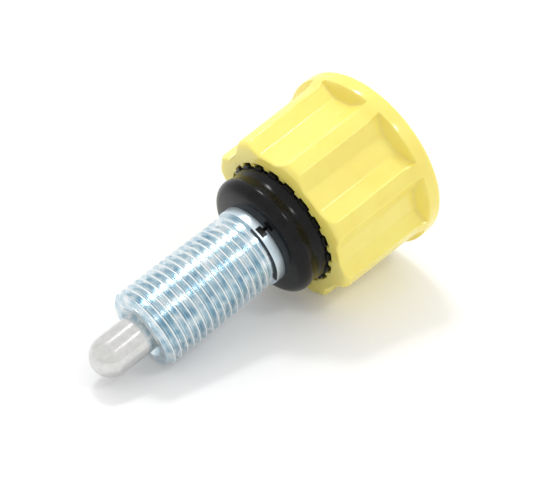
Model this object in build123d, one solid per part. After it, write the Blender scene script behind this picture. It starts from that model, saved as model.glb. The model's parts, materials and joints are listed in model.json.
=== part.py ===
from build123d import *

import os
from math import cos, radians, sin, tan

# Indexing plunger with a ball-nosed pin, a threaded barrel and a pull knob.
#
# Every piece is drawn along +X, the way the knob is pulled, with x = 0 at the
# front face of the barrel.  Angles round the axis run from +Y towards +Z.  One
# placement at the end lays the plunger down on the barrel's front edge and two
# of the knob's ribs, as it rests on a table.  All lengths are in millimetres.

# Threaded barrel, from its front face to the shank inside the hub
THREAD_RADIUS = 8.0
THREAD_LENGTH = 25.1
FRONT_CHAMFER_LENGTH = 0.85
FRONT_CHAMFER_DEPTH = 0.9
MOUTH_CHAMFER = 1.27
RELIEF_DEPTH = 0.6
RELIEF_WIDTH = 1.0
COLLAR_STEP = 0.25
COLLAR_WIDTH = 2.0
SHANK_STEP = 0.45
SHANK_LENGTH = 9.9
RETAINING_GROOVE_OFFSET = 2.4
RETAINING_GROOVE_WIDTH = 2.0
RETAINING_GROOVE_DEPTH = 0.8

# Key of hub plastic that fills a notch in the collar
KEY_ANGLE = 125.9
KEY_OFFSET = 0.35
KEY_LENGTH = 1.2
KEY_WIDTH = 2.1
KEY_NECK_WIDTH = 0.75
KEY_DEPTH = 0.95
KEY_RECESS = 0.15

# Pin with its stop collar and stem
PIN_RADIUS = 3.95
PIN_CLEARANCE = 0.08
PIN_REACH = 10.75
GUIDE_LENGTH = 12.0
CHAMBER_RADIUS = 5.6
STOP_CLEARANCE = 0.3
STOP_LENGTH = 3.0
STEM_RADIUS = 3.0
STEM_CLEARANCE = 0.05
STEM_SEAT_DEPTH = 0.8

# Spring and guide bush
BUSH_LENGTH = 4.0
SPRING_WIRE = 1.0
SPRING_CLEARANCE = 0.6
SPRING_COILS = 7

# Hub moulding
HUB_CREST_RADIUS = 12.6
HUB_CREST_LAND = 0.3
HUB_NOSE_FILLET = 2.3
HUB_WAIST_DEPTH = 0.35
HUB_WAIST_WIDTH = 3.6
HUB_WAIST_FILLET = 2.0
HUB_WALL = 1.0
HUB_STEM_GAP = 0.6
SKIRT_WALL = 1.5

# Spline between hub and knob
SPLINE_TEETH = 20
SPLINE_ANGLE = -83.9
SPLINE_LENGTH = 13.9
SPLINE_ROOT_RADIUS = 12.3
SPLINE_TOOTH_HEIGHT = 0.8
SPLINE_TOOTH_WIDTH = 2.1
SPLINE_CLEARANCE = 0.3

# Knob moulding
KNOB_GAP = 0.6
KNOB_FRONT_RADIUS = 17.75
KNOB_FRONT_FILLET = 1.3
KNOB_TAPER = 0.5
RIM_LIP = 0.75
RIM_WIDTH = 3.2
RIM_SLOPE_LENGTH = 2.4
RIM_BLEND = 5.0
RIM_BACK_FILLET = 0.8
WEB_GAP = 0.3
WEB_THICKNESS = 2.5
POCKET_RADIUS = 7.2

# Recesses round the knob
RECESS_COUNT = 8
RECESS_DEPTH = 1.05
RECESS_FLOOR_WIDTH = 4.08
RECESS_WALL_ANGLE = 9.8
RECESS_FLOOR_TAPER = 0.8
RECESS_RUNOUT = 0.2
RECESS_RAMP_ANGLE = 42.0
RECESS_FLOOR_FILLET = 0.4

# Screw, washers and cap inside the knob
SCREW_RADIUS = 2.0
SCREW_HOLE_CLEARANCE = 0.25
SCREW_LENGTH = 12.0
SCREW_HEAD_RADIUS = 3.5
SCREW_HEAD_LENGTH = 4.0
SCREW_SOCKET_WIDTH = 3.0
SCREW_SOCKET_DEPTH = 2.0
TAPPED_HOLE_SPARE = 1.0
WASHER_RADIUS = 4.5
WASHER_THICKNESS = 0.8
SPRING_WASHER_RADIUS = 3.8
SPRING_WASHER_THICKNESS = 0.9
SPRING_WASHER_SPLIT = 0.7
CAP_GAP = 0.8
CAP_SEAT_WIDTH = 1.0
CAP_THICKNESS = 1.5
CAP_SKIRT_WALL = 1.0
CAP_SKIRT_LENGTH = 1.6

# Places along the axis that follow from the sizes above
RELIEF_END = THREAD_LENGTH + RELIEF_WIDTH
COLLAR_END = RELIEF_END + COLLAR_WIDTH
KEY_START = RELIEF_END + KEY_OFFSET
KEY_END = KEY_START + KEY_LENGTH
GROOVE_START = COLLAR_END + RETAINING_GROOVE_OFFSET
GROOVE_END = GROOVE_START + RETAINING_GROOVE_WIDTH
BARREL_END = COLLAR_END + SHANK_LENGTH
STOP_END = GUIDE_LENGTH + STOP_LENGTH
BUSH_START = BARREL_END - BUSH_LENGTH
HUB_CREST_END = COLLAR_END + HUB_NOSE_FILLET + HUB_CREST_LAND
HUB_DRUM_END = HUB_CREST_END + HUB_WAIST_WIDTH
HUB_BACK = BARREL_END + HUB_WALL
HUB_END = HUB_DRUM_END + SPLINE_LENGTH
KNOB_FRONT = HUB_DRUM_END + KNOB_GAP
WEB_START = HUB_END + WEB_GAP
WEB_END = WEB_START + WEB_THICKNESS
STEM_END = WEB_START + STEM_SEAT_DEPTH
WASHER_END = WEB_END + WASHER_THICKNESS
SCREW_SEAT = WASHER_END + SPRING_WASHER_THICKNESS
SCREW_TIP = SCREW_SEAT - SCREW_LENGTH
SCREW_END = SCREW_SEAT + SCREW_HEAD_LENGTH
CAP_SEAT = SCREW_END + CAP_GAP
KNOB_BACK = CAP_SEAT + CAP_THICKNESS
RIM_FULL = KNOB_BACK - RIM_WIDTH
RIM_FRONT = RIM_FULL - RIM_SLOPE_LENGTH
RECESS_END = RIM_FRONT + RECESS_RUNOUT

# Radii that follow from the sizes above
RELIEF_RADIUS = THREAD_RADIUS - RELIEF_DEPTH
COLLAR_RADIUS = THREAD_RADIUS + COLLAR_STEP
SHANK_RADIUS = COLLAR_RADIUS - SHANK_STEP
GROOVE_RADIUS = SHANK_RADIUS - RETAINING_GROOVE_DEPTH
KEY_FLOOR_RADIUS = COLLAR_RADIUS - KEY_DEPTH
PIN_BORE_RADIUS = PIN_RADIUS + PIN_CLEARANCE
STOP_RADIUS = CHAMBER_RADIUS - STOP_CLEARANCE
STEM_BORE_RADIUS = STEM_RADIUS + STEM_CLEARANCE
SPRING_RADIUS = CHAMBER_RADIUS - SPRING_CLEARANCE - SPRING_WIRE / 2
HUB_WAIST_RADIUS = HUB_CREST_RADIUS - HUB_WAIST_DEPTH
SKIRT_INNER_RADIUS = SPLINE_ROOT_RADIUS - SKIRT_WALL
SPLINE_TIP_RADIUS = SPLINE_ROOT_RADIUS + SPLINE_TOOTH_HEIGHT
SPLINE_BORE_RADIUS = SPLINE_ROOT_RADIUS + SPLINE_CLEARANCE
KNOB_WAIST_RADIUS = KNOB_FRONT_RADIUS + KNOB_TAPER
RIM_RADIUS = KNOB_WAIST_RADIUS + RIM_LIP
RECESS_FLOOR = KNOB_FRONT_RADIUS - RECESS_DEPTH
SCREW_HOLE_RADIUS = SCREW_RADIUS + SCREW_HOLE_CLEARANCE
CAP_RADIUS = POCKET_RADIUS + CAP_SEAT_WIDTH

# Length by which cutting tools run past what they cut
CUT_OVERRUN = 1.0
TABLE_CONTACT_STEPS = 16


def turned(*corners):
    """Revolves a closed outline of (x, radius) or (x, radius, fillet) corners."""
    points = [corner[:2] for corner in corners]
    fillets = [corner[2] if len(corner) == 3 else 0 for corner in corners]
    return revolve(make_face(FilletPolyline(*points, radius=fillets, close=True)), Axis.X)


def tube(start, end, inner, outer):
    """A plain ring from start to end along the axis."""
    return turned((start, inner), (start, outer), (end, outer), (end, inner))


def round_axis(count, first_angle):
    """Places of evenly spaced features round the axis, from first_angle on."""
    return [Rot(X=first_angle + 360 * index / count) for index in range(count)]


def key_prism(inner, outer):
    """The T-shaped key and its neck, between two radii of the collar."""
    head = Pos(X=(KEY_START + KEY_END) / 2) * Rectangle(KEY_END - KEY_START, KEY_WIDTH)
    neck = Pos(X=(KEY_START + COLLAR_END) / 2) * Rectangle(COLLAR_END - KEY_START, KEY_NECK_WIDTH)
    prism = extrude(head + neck, amount=outer + CUT_OVERRUN)
    return Rot(X=KEY_ANGLE - 90) * (prism & tube(KEY_START, COLLAR_END, inner, outer))


def spline_bar(start, end, inner, outer, widening):
    """One tooth of the spline, or the wider groove it runs in, lying along +Y."""
    flank = Pos((start + end) / 2, (inner + outer) / 2) * Rectangle(end - start, outer - inner)
    return extrude(flank, amount=SPLINE_TOOTH_WIDTH / 2 + widening, both=True)


def make_barrel():
    """Turned barrel: thread, relief, collar, grooved shank, guide bore and chamber."""
    body = turned(
        (MOUTH_CHAMFER, PIN_BORE_RADIUS),
        (0, PIN_BORE_RADIUS + MOUTH_CHAMFER),
        (0, THREAD_RADIUS - FRONT_CHAMFER_DEPTH),
        (FRONT_CHAMFER_LENGTH, THREAD_RADIUS),
        (THREAD_LENGTH, THREAD_RADIUS),
        (THREAD_LENGTH, RELIEF_RADIUS),
        (RELIEF_END, RELIEF_RADIUS),
        (RELIEF_END, COLLAR_RADIUS),
        (COLLAR_END, COLLAR_RADIUS),
        (COLLAR_END, SHANK_RADIUS),
        (GROOVE_START, SHANK_RADIUS),
        (GROOVE_START, GROOVE_RADIUS),
        (GROOVE_END, GROOVE_RADIUS),
        (GROOVE_END, SHANK_RADIUS),
        (BARREL_END, SHANK_RADIUS),
        (BARREL_END, CHAMBER_RADIUS),
        (GUIDE_LENGTH, CHAMBER_RADIUS),
        (GUIDE_LENGTH, PIN_BORE_RADIUS),
    )
    return body - key_prism(KEY_FLOOR_RADIUS, COLLAR_RADIUS + CUT_OVERRUN)


def make_plunger_pin():
    """Ball-nosed pin with its stop collar and the tapped stem that carries the knob."""
    nose_center = PIN_RADIUS - PIN_REACH
    nose_middle = (nose_center - PIN_RADIUS * cos(radians(45)), PIN_RADIUS * sin(radians(45)))
    nose = ThreePointArc((-PIN_REACH, 0), nose_middle, (nose_center, PIN_RADIUS))
    hole_end = SCREW_TIP - TAPPED_HOLE_SPARE
    rest = Polyline(
        (nose_center, PIN_RADIUS),
        (GUIDE_LENGTH, PIN_RADIUS),
        (GUIDE_LENGTH, STOP_RADIUS),
        (STOP_END, STOP_RADIUS),
        (STOP_END, STEM_RADIUS),
        (STEM_END, STEM_RADIUS),
        (STEM_END, SCREW_RADIUS),
        (hole_end, SCREW_RADIUS),
        (hole_end, 0),
        (-PIN_REACH, 0),
    )
    return revolve(make_face(nose.edges() + rest.edges()), Axis.X)


def make_guide_bush():
    """Bush pressed into the rear of the chamber, with a running bore for the stem."""
    return tube(BUSH_START, BARREL_END, STEM_BORE_RADIUS, CHAMBER_RADIUS)


def make_spring():
    """Round-wire compression spring with its two ends ground flat."""
    length = BUSH_START - STOP_END
    path = Helix(pitch=length / SPRING_COILS, height=length, radius=SPRING_RADIUS)
    wire_end = Plane(origin=path @ 0, z_dir=path % 0) * Circle(SPRING_WIRE / 2)
    coils = Pos(X=STOP_END) * Rot(Y=90) * sweep(wire_end, path=path, is_frenet=True)
    return coils & tube(STOP_END, BUSH_START, STEM_RADIUS, CHAMBER_RADIUS)


def make_hub():
    """Moulded drum that grips the barrel's shank, with a splined skirt behind it."""
    stem_hole = STEM_RADIUS + HUB_STEM_GAP
    body = turned(
        (COLLAR_END, SHANK_RADIUS),
        (COLLAR_END, HUB_CREST_RADIUS, HUB_NOSE_FILLET),
        (HUB_CREST_END, HUB_CREST_RADIUS, HUB_WAIST_FILLET),
        ((HUB_CREST_END + HUB_DRUM_END) / 2, HUB_WAIST_RADIUS, HUB_WAIST_FILLET),
        (HUB_DRUM_END, HUB_CREST_RADIUS),
        (HUB_DRUM_END, SPLINE_ROOT_RADIUS),
        (HUB_END, SPLINE_ROOT_RADIUS),
        (HUB_END, SKIRT_INNER_RADIUS),
        (HUB_BACK, SKIRT_INNER_RADIUS),
        (HUB_BACK, stem_hole),
        (BARREL_END, stem_hole),
        (BARREL_END, SHANK_RADIUS),
        (GROOVE_END, SHANK_RADIUS),
        (GROOVE_END, GROOVE_RADIUS),
        (GROOVE_START, GROOVE_RADIUS),
        (GROOVE_START, SHANK_RADIUS),
    )
    skirt_middle = (SKIRT_INNER_RADIUS + SPLINE_ROOT_RADIUS) / 2
    tooth = spline_bar(HUB_DRUM_END, HUB_END, skirt_middle, SPLINE_TIP_RADIUS, 0)
    body += [place * tooth for place in round_axis(SPLINE_TEETH, SPLINE_ANGLE)]
    return body + key_prism(KEY_FLOOR_RADIUS, COLLAR_RADIUS - KEY_RECESS)


def recess_cutter():
    """Space of one recess over +Y: floor deeper at the front, drafted walls, conical rear ramp."""
    bottom = RECESS_FLOOR - CUT_OVERRUN
    top = RIM_RADIUS + CUT_OVERRUN
    ramp_slope = tan(radians(RECESS_RAMP_ANGLE))
    wall_slope = tan(radians(RECESS_WALL_ANGLE))
    ramp_bottom = RECESS_END - CUT_OVERRUN / ramp_slope
    ramp_top = RECESS_END + (top - RECESS_FLOOR) / ramp_slope
    half_width = RIM_RADIUS * tan(radians(180 / RECESS_COUNT))
    vee_bottom = RECESS_FLOOR - RECESS_FLOOR_WIDTH / 2 * wall_slope
    wall_top = vee_bottom + half_width * wall_slope
    section = Polyline(
        (RECESS_FLOOR, -RECESS_FLOOR_WIDTH / 2),
        (RECESS_FLOOR, RECESS_FLOOR_WIDTH / 2),
        (wall_top, half_width),
        (top, half_width),
        (top, -half_width),
        (wall_top, -half_width),
        close=True,
    )
    start = KNOB_FRONT - CUT_OVERRUN
    space = turned((start, bottom), (ramp_bottom, bottom), (ramp_top, top), (start, top))
    trough = Pos(X=start - RECESS_END) * extrude(Plane.YZ * make_face(section), amount=ramp_top - start)
    hinge = Pos(RECESS_END, RECESS_FLOOR, 0)
    trough = hinge * Rot(Z=RECESS_FLOOR_TAPER) * Pos(Y=-RECESS_FLOOR) * trough
    cutter = trough & space
    rear_floor_edge = cutter.edges().filter_by_position(Axis.Y, 0, RECESS_FLOOR + 0.2).sort_by(Axis.X)[-1]
    return fillet(rear_floor_edge, RECESS_FLOOR_FILLET)


def make_knob():
    """Moulded pull knob: ribbed body, rear rim, splined bore, web and rear pocket."""
    body = turned(
        (KNOB_FRONT, SPLINE_BORE_RADIUS),
        (KNOB_FRONT, KNOB_FRONT_RADIUS, KNOB_FRONT_FILLET),
        (RIM_FRONT, KNOB_WAIST_RADIUS, RIM_BLEND),
        (RIM_FULL, RIM_RADIUS, RIM_BLEND),
        (KNOB_BACK, RIM_RADIUS, RIM_BACK_FILLET),
        (KNOB_BACK, CAP_RADIUS),
        (CAP_SEAT, CAP_RADIUS),
        (CAP_SEAT, POCKET_RADIUS),
        (WEB_END, POCKET_RADIUS),
        (WEB_END, SCREW_HOLE_RADIUS),
        (STEM_END, SCREW_HOLE_RADIUS),
        (STEM_END, STEM_BORE_RADIUS),
        (WEB_START, STEM_BORE_RADIUS),
        (WEB_START, SPLINE_BORE_RADIUS),
    )
    groove_start = KNOB_FRONT - CUT_OVERRUN
    groove_radius = SPLINE_TIP_RADIUS + SPLINE_CLEARANCE
    groove = spline_bar(groove_start, WEB_START, SPLINE_ROOT_RADIUS, groove_radius, SPLINE_CLEARANCE)
    body -= [place * groove for place in round_axis(SPLINE_TEETH, SPLINE_ANGLE)]
    cutter = recess_cutter()
    return body - [place * cutter for place in round_axis(RECESS_COUNT, -90)]


def make_flat_washer():
    """Plain washer on the knob's web."""
    return tube(WEB_END, WASHER_END, SCREW_HOLE_RADIUS, WASHER_RADIUS)


def make_spring_washer():
    """Split washer, flattened under the screw's head."""
    ring = tube(WASHER_END, SCREW_SEAT, SCREW_HOLE_RADIUS, SPRING_WASHER_RADIUS)
    middle = Vector((WASHER_END + SCREW_SEAT) / 2, SPRING_WASHER_RADIUS, 0)
    split = Box(2 * SPRING_WASHER_THICKNESS, 2 * SPRING_WASHER_RADIUS, SPRING_WASHER_SPLIT)
    return ring - Pos(middle) * split


def make_clamp_screw():
    """Socket screw from the pocket into the pin's tapped stem."""
    screw = turned(
        (SCREW_TIP, 0),
        (SCREW_TIP, SCREW_RADIUS),
        (SCREW_SEAT, SCREW_RADIUS),
        (SCREW_SEAT, SCREW_HEAD_RADIUS),
        (SCREW_END, SCREW_HEAD_RADIUS),
        (SCREW_END, 0),
    )
    hexagon = RegularPolygon(SCREW_SOCKET_WIDTH / 2, 6, major_radius=False)
    socket = extrude(Plane.YZ.offset(SCREW_END) * hexagon, amount=-SCREW_SOCKET_DEPTH)
    return screw - socket


def make_end_cap():
    """Plug flush with the knob's back, with a skirt inside the pocket."""
    skirt_start = CAP_SEAT - CAP_SKIRT_LENGTH
    skirt_inner = POCKET_RADIUS - CAP_SKIRT_WALL
    return turned(
        (KNOB_BACK, 0),
        (KNOB_BACK, CAP_RADIUS),
        (CAP_SEAT, CAP_RADIUS),
        (CAP_SEAT, POCKET_RADIUS),
        (skirt_start, POCKET_RADIUS),
        (skirt_start, skirt_inner),
        (CAP_SEAT, skirt_inner),
        (CAP_SEAT, 0),
    )


def lowest(piece, tilt):
    """Height of the lowest point of a piece once the knob end is raised by tilt."""
    return (Rot(Y=-tilt) * piece).bounding_box().min.Z


def resting_tilt(barrel, knob):
    """Tilt in degrees at which barrel and knob touch the table together."""
    low, high = 0, 90
    for _ in range(TABLE_CONTACT_STEPS):
        middle = (low + high) / 2
        if lowest(knob, middle) < lowest(barrel, middle):
            low = middle
        else:
            high = middle
    return (low + high) / 2


def resting_place(pieces):
    """Lays the plunger on the table with its bounding box centred over the origin."""
    tilt = Rot(Y=-resting_tilt(pieces["threaded_barrel"], pieces["knob"]))
    box = (tilt * Compound(list(pieces.values()))).bounding_box()
    return Pos(-box.center().X, -box.center().Y, -box.min.Z) * tilt


def main():
    """Models every piece, lays the plunger down and writes one STEP file a piece."""
    pieces = {
        "threaded_barrel": make_barrel(),
        "hub": make_hub(),
        "guide_bush": make_guide_bush(),
        "spring": make_spring(),
        "plunger_pin": make_plunger_pin(),
        "knob": make_knob(),
        "flat_washer": make_flat_washer(),
        "spring_washer": make_spring_washer(),
        "clamp_screw": make_clamp_screw(),
        "end_cap": make_end_cap(),
    }
    place = resting_place(pieces)
    pull_axis = place * Edge.make_line((0, 0, 0), (1, 0, 0))
    face, pull = pull_axis @ 0, pull_axis % 0
    print(f"barrel face at {face.X:.5f},{face.Z:.5f} pull axis {pull.X:.7f},{pull.Z:.7f}")
    os.makedirs("parts", exist_ok=True)
    for name, piece in pieces.items():
        export_step(place * piece, f"parts/{name}.step")


if __name__ == "__main__":
    main()
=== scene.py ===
"""Finish of an indexing plunger: plated steel barrel, polished pin, black nylon hub, yellow knob.

Each sub-assembly is a class with its sizes in millimetres, measured along the
plunger's own axis from the barrel's front face.  The classes build detailed
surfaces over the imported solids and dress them, and the studio holds the camera,
lights and floor.
"""

import json
import logging
import math
from dataclasses import dataclass
from enum import Enum
from typing import Protocol

import bmesh
import bpy
import numpy as np
from mathutils import Euler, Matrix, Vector

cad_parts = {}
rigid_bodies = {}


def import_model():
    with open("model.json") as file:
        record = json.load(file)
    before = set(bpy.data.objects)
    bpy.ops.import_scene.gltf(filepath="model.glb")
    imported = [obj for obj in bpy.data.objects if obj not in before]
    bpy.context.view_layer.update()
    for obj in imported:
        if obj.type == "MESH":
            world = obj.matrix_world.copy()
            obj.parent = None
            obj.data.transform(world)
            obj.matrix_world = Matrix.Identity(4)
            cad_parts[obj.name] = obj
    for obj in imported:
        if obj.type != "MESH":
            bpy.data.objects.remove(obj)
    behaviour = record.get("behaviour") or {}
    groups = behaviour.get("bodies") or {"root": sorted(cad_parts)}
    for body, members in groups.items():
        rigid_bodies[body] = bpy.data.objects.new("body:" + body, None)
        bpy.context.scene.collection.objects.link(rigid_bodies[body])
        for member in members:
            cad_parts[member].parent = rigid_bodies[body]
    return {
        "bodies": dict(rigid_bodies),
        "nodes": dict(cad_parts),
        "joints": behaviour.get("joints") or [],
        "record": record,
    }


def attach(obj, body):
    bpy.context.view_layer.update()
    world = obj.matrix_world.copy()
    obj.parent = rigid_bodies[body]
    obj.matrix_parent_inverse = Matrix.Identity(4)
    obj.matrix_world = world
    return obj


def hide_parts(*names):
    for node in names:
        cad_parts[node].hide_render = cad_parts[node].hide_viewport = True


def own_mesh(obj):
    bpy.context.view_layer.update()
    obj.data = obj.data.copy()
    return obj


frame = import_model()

MM = 0.001
MERGE_DISTANCE = 1e-7
SLIVER_LENGTH = 1e-8
LATHE_COLUMNS = 128
CLOUD_RANGE = (0.34, 0.66)
LOG = logging.getLogger("plunger")


class Body(str, Enum):
    """Names of the two moving bodies."""

    BARREL = "barrel"
    PLUNGER = "plunger"


@dataclass(frozen=True)
class PlungerAxis:
    """Directions and origin of the plunger's own axis in the row frame."""

    face: np.ndarray
    along: np.ndarray
    across: np.ndarray
    lift: np.ndarray

    @classmethod
    def from_frame(cls, packed: dict, thread_middle: float) -> "PlungerAxis":
        """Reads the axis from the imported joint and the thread's mount.

        Args:
            thread_middle: Distance of the thread mount from the barrel's face, in mm.

        Returns:
            The axis with its origin at the centre of the barrel's front face.
        """
        along = np.array(packed["joints"][0]["axis"], float)
        along /= np.linalg.norm(along)
        middle = np.array(packed["record"]["mounts"][0]["pos_m"], float)
        across = np.array([0.0, 1.0, 0.0])
        return cls(middle - along * thread_middle * MM, along, across, np.cross(along, across))

    def place(self, x: np.ndarray, radius: np.ndarray, angle: np.ndarray) -> np.ndarray:
        """Turns cylinder coordinates in mm into points in metres.

        Args:
            x: Distance from the barrel's front face.
            radius: Distance from the axis.
            angle: Angle round the axis in radians, from the row's +Y upwards.

        Returns:
            An array of points with a last dimension of three.
        """
        x, radius, angle = np.broadcast_arrays(x, radius, angle)
        side = radius * np.cos(angle)
        rise = radius * np.sin(angle)
        offset = x[..., None] * self.along + side[..., None] * self.across + rise[..., None] * self.lift
        return self.face + offset * MM


def rounded_outline(corners: list[tuple[float, ...]], steps: int = 7) -> np.ndarray:
    """Rounds an open outline of (x, radius) or (x, radius, fillet) corners.

    Args:
        corners: Corners in order; a third number rounds that corner.
        steps: Points on each rounded corner.

    Returns:
        An array of (x, radius) points.
    """
    points = np.array([corner[:2] for corner in corners])
    fillets = np.array([corner[2] if len(corner) == 3 else 0.0 for corner in corners])
    back = np.roll(points, 1, axis=0) - points
    ahead = np.roll(points, -1, axis=0) - points
    back /= np.linalg.norm(back, axis=1, keepdims=True)
    ahead /= np.linalg.norm(ahead, axis=1, keepdims=True)
    half = np.arccos(np.clip((back * ahead).sum(axis=1), -1.0, 1.0)) / 2
    half = np.clip(half, 1e-3, math.pi / 2 - 1e-4)
    middle = back + ahead
    middle /= np.maximum(np.linalg.norm(middle, axis=1, keepdims=True), 1e-9)
    reach = (fillets / np.tan(half))[:, None]
    centre = points + middle * (fillets / np.sin(half))[:, None]
    start = points + back * reach - centre
    end = points + ahead * reach - centre
    turn = (math.pi - 2 * half)[:, None, None]
    share = np.linspace(0.0, 1.0, steps)[None, :, None]
    arc = (np.sin((1 - share) * turn) * start[:, None] + np.sin(share * turn) * end[:, None]) / np.sin(turn)
    samples = (arc + centre[:, None]).reshape(-1, 2)
    samples[0], samples[-1] = points[0], points[-1]
    gaps = np.linalg.norm(np.diff(samples, axis=0), axis=1)
    return samples[np.concatenate([[True], gaps > 1e-5])]


def dense_outline(
    outline: np.ndarray, step: float, fine_step: float, fine_zone: tuple[float, float]
) -> np.ndarray:
    """Adds points along the straight runs of an outline.

    A new point nearer than 0.6 of the fine step to one of the outline's own is
    left out.

    Args:
        outline: Array of (x, radius) points.
        step: Largest spacing of the points, in mm.
        fine_step: Spacing inside the fine zone.
        fine_zone: Range of x that gets the fine spacing.

    Returns:
        The outline with its own points kept and more between them.
    """
    lengths = np.concatenate([[0.0], np.cumsum(np.linalg.norm(np.diff(outline, axis=0), axis=1))])
    fine = np.arange(0.0, lengths[-1], fine_step)
    x = np.interp(fine, lengths, outline[:, 0])
    inside = (x > fine_zone[0]) & (x < fine_zone[1])
    stride = max(int(round(step / fine_step)), 1)
    chosen = fine[inside | (np.arange(len(fine)) % stride == 0)]
    nearest = np.abs(chosen[:, None] - lengths[None, :]).min(axis=1)
    places = np.sort(np.concatenate([lengths, chosen[nearest > 0.6 * fine_step]]))
    return np.stack([np.interp(places, lengths, outline[:, k]) for k in (0, 1)], axis=1)


def soft_min(a: np.ndarray, b: np.ndarray, blend: float) -> np.ndarray:
    """The lower of two heights, rounded where they cross.

    It is min(a, b) less a quarter of blend times the squared share h, where h
    falls from one at the crossing to nothing where they differ by blend.

    Args:
        a: First height.
        b: Second height.
        blend: Difference at which the rounding ends, in mm.

    Returns:
        The blended height.
    """
    share = np.clip(1.0 - np.abs(a - b) / blend, 0.0, 1.0)
    return np.minimum(a, b) - share * share * blend / 4


def soft_max(a: np.ndarray, b: np.ndarray, blend: float) -> np.ndarray:
    """The higher of two heights, rounded where they cross.

    Args:
        a: First height.
        b: Second height.
        blend: Difference at which the rounding ends, in mm.

    Returns:
        The blended height.
    """
    return -soft_min(-a, -b, blend)


class SurfaceMesh:
    """Collects rings of points and writes them as one closed mesh object."""

    def __init__(self, name: str) -> None:
        """Starts with no points.

        Args:
            name: Name of the object to be.
        """
        self.name = name
        self.points: list[np.ndarray] = []
        self.quads: list[np.ndarray] = []
        self.count = 0

    def add_grid(self, points: np.ndarray, close_columns: bool = True, close_rows: bool = False) -> None:
        """Adds a grid of quads over rows and columns of points.

        Args:
            points: Array of rows, columns and coordinates.
            close_columns: Join the last column to the first.
            close_rows: Join the last row to the first.
        """
        rows, columns = points.shape[:2]
        index = self.count + np.arange(rows * columns).reshape(rows, columns)
        if close_columns:
            index = np.concatenate([index, index[:, :1]], axis=1)
        if close_rows:
            index = np.concatenate([index, index[:1]], axis=0)
        corners = [index[:-1, :-1], index[:-1, 1:], index[1:, 1:], index[1:, :-1]]
        self.quads.append(np.stack(corners, axis=-1).reshape(-1, 4))
        self.points.append(points.reshape(-1, 3))
        self.count += rows * columns

    def finish(self, sharp_angle: float = 40.0, capped: bool = False) -> bpy.types.Object:
        """Makes the object: doubles merged, normals outward, shading smooth.

        Args:
            sharp_angle: Angle in degrees past which an edge stays sharp.
            capped: Close the open ends with triangles.

        Returns:
            The new object, linked to the scene and at the origin.
        """
        mesh = bpy.data.meshes.new(self.name)
        mesh.from_pydata(np.concatenate(self.points).tolist(), [], np.concatenate(self.quads).tolist())
        work = bmesh.new()
        work.from_mesh(mesh)
        bmesh.ops.remove_doubles(work, verts=work.verts, dist=MERGE_DISTANCE)
        bmesh.ops.dissolve_degenerate(work, edges=work.edges, dist=SLIVER_LENGTH)
        if capped:
            rims = [edge for edge in work.edges if edge.is_boundary]
            caps = bmesh.ops.holes_fill(work, edges=rims, sides=0)["faces"]
            bmesh.ops.triangulate(work, faces=caps)
        bmesh.ops.recalc_face_normals(work, faces=work.faces)
        work.to_mesh(mesh)
        work.free()
        mesh.shade_smooth()
        mesh.set_sharp_from_angle(angle=math.radians(sharp_angle))
        piece = bpy.data.objects.new(self.name, mesh)
        bpy.context.scene.collection.objects.link(piece)
        return piece


def dress_piece(
    piece: bpy.types.Object,
    material: bpy.types.Material,
    body: Body,
    nodes: tuple[str, ...],
) -> None:
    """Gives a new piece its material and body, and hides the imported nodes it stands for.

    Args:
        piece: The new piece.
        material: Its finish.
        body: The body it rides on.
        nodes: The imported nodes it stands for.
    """
    piece.data.materials.clear()
    piece.data.materials.append(material)
    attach(piece, body.value)
    if nodes:
        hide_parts(*nodes)
    count = len(piece.data.polygons)
    LOG.info("%s: %d faces, finish %s, body %s", piece.name, count, material.name, body.value)


def even_angles(count: int) -> np.ndarray:
    """Evenly spaced angles round the axis, in radians.

    Args:
        count: Number of columns.

    Returns:
        Angles from zero up to, and without, a full turn.
    """
    return np.arange(count) * (2 * math.pi / count)


def lathe(name: str, axis: PlungerAxis, outline: np.ndarray) -> bpy.types.Object:
    """Turns an outline that starts and ends on the plunger's axis.

    Args:
        name: Name of the piece.
        axis: The plunger's axis.
        outline: Array of (x, radius) points.

    Returns:
        The turned piece.
    """
    surface = SurfaceMesh(name)
    surface.add_grid(axis.place(outline[:, :1], outline[:, 1:], even_angles(LATHE_COLUMNS)[None, :]))
    return surface.finish()


class Part(Protocol):
    """What every sub-assembly does."""

    def build(self, axis: PlungerAxis) -> bpy.types.Object:
        """Builds the sub-assembly's surface."""

    def dress(self, piece: bpy.types.Object, axis: PlungerAxis, shelf: "FinishShelf") -> None:
        """Gives the built surface its finishes and its body, and hides the imported nodes it stands for."""


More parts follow.
